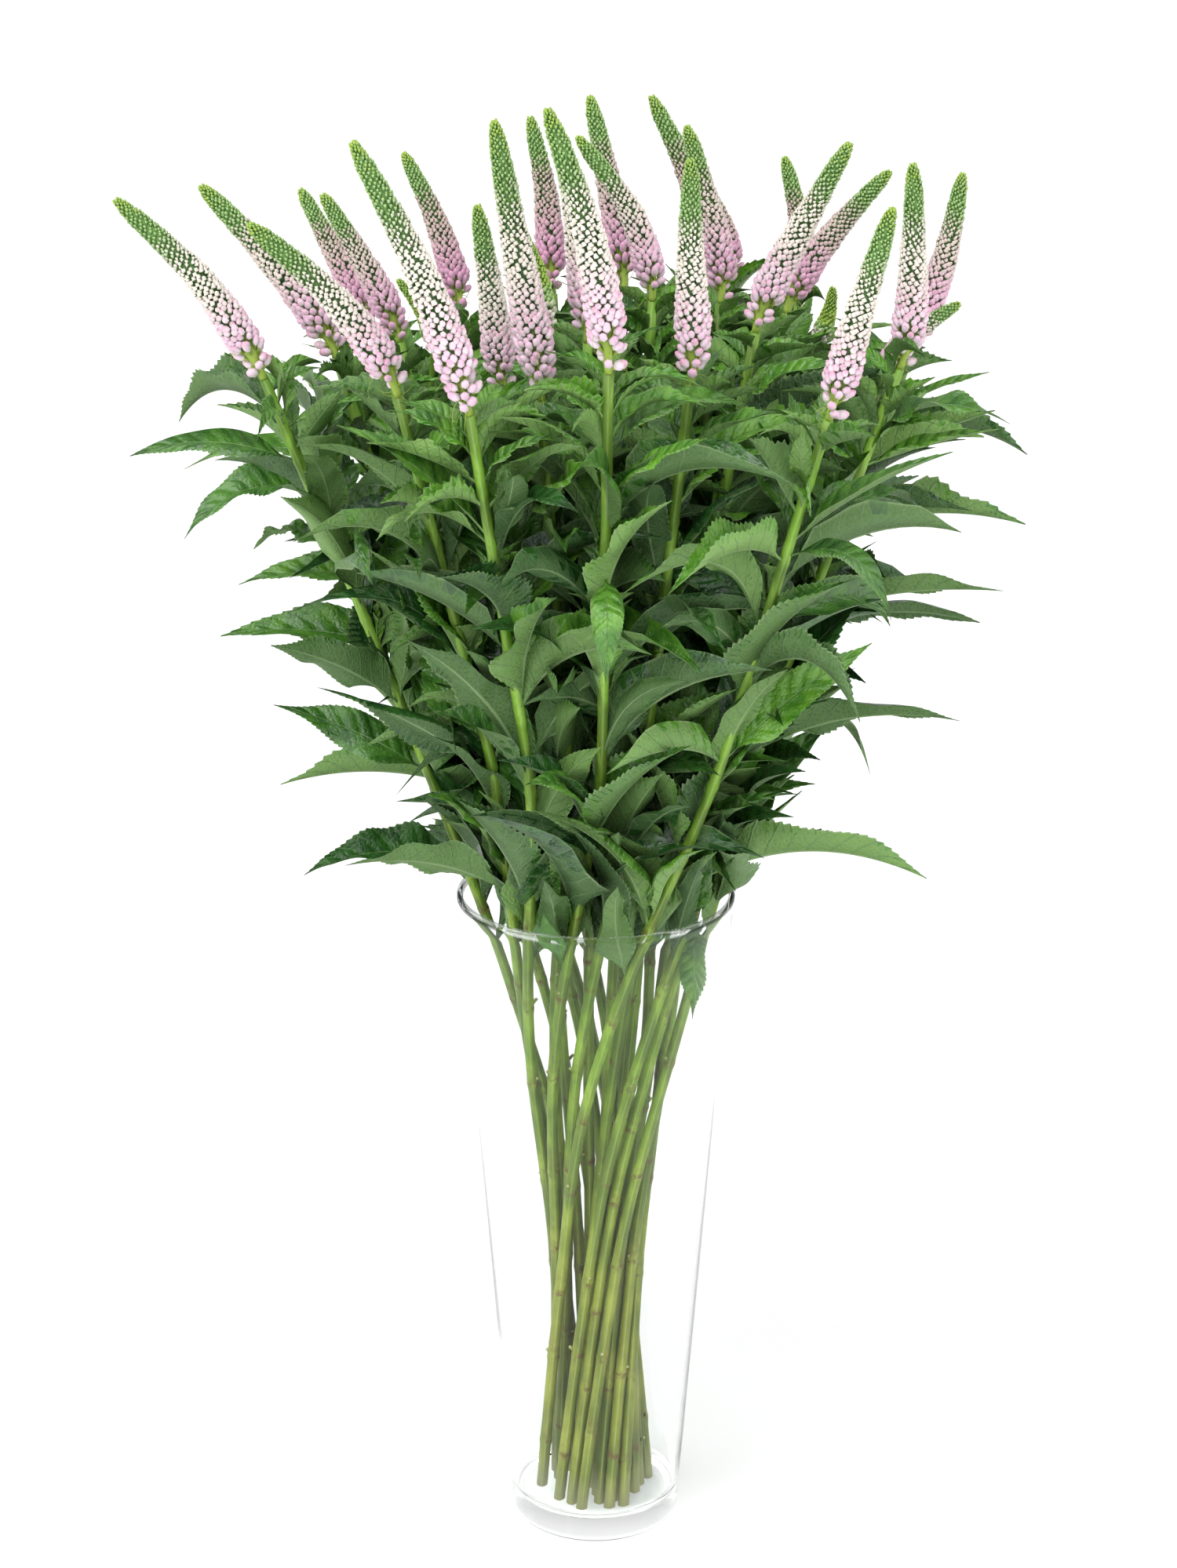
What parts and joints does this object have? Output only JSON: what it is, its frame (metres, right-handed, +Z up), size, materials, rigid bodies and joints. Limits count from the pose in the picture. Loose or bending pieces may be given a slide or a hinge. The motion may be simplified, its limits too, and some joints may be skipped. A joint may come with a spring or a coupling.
{
  "type": "speedwell in vase",
  "caption": "Bunch of pink speedwell, leafy stems with tall flower spikes, in a tall conical clear glass vase.",
  "frame": {"origin": "middle of the vase's flat underside", "axes": "+Z up along the vase's axis; the picture is taken looking along +Y, with +X to the right"},
  "size_m": [0.432, 0.371, 0.7622],
  "materials": {
    "glass": "clear, polished, colourless soda-lime glass",
    "foliage": "satin green leaves, paler and matt underneath, on smooth yellow-green stems",
    "blossom": "matt pink buds that pass through cream to green at the spike's tip"
  },
  "bodies": {
    "root": {"vase": "glass", "stem_01": "foliage", "stem_02": "foliage", "stem_03": "foliage", "stem_04": "foliage", "stem_05": "foliage", "stem_06": "foliage", "stem_07": "foliage", "stem_08": "foliage", "stem_09": "foliage", "stem_10": "foliage", "stem_11": "foliage", "stem_12": "foliage", "stem_13": "foliage", "stem_14": "foliage", "stem_15": "foliage", "stem_16": "foliage", "stem_17": "foliage", "stem_18": "foliage", "stem_19": "foliage", "stem_20": "foliage", "stem_21": "foliage", "stem_22": "foliage", "stem_23": "foliage", "stem_24": "foliage", "stem_25": "foliage", "spike_01": "blossom", "spike_02": "blossom", "spike_03": "blossom", "spike_04": "blossom", "spike_05": "blossom", "spike_06": "blossom", "spike_07": "blossom", "spike_08": "blossom", "spike_09": "blossom", "spike_10": "blossom", "spike_11": "blossom", "spike_12": "blossom", "spike_13": "blossom", "spike_14": "blossom", "spike_15": "blossom", "spike_16": "blossom", "spike_17": "blossom", "spike_18": "blossom", "spike_19": "blossom", "spike_20": "blossom", "spike_21": "blossom", "spike_22": "blossom", "spike_23": "blossom", "spike_24": "blossom", "spike_25": "blossom", "spike_26": "blossom", "spike_27": "blossom", "spike_28": "blossom"}
  },
  "joints": []
}
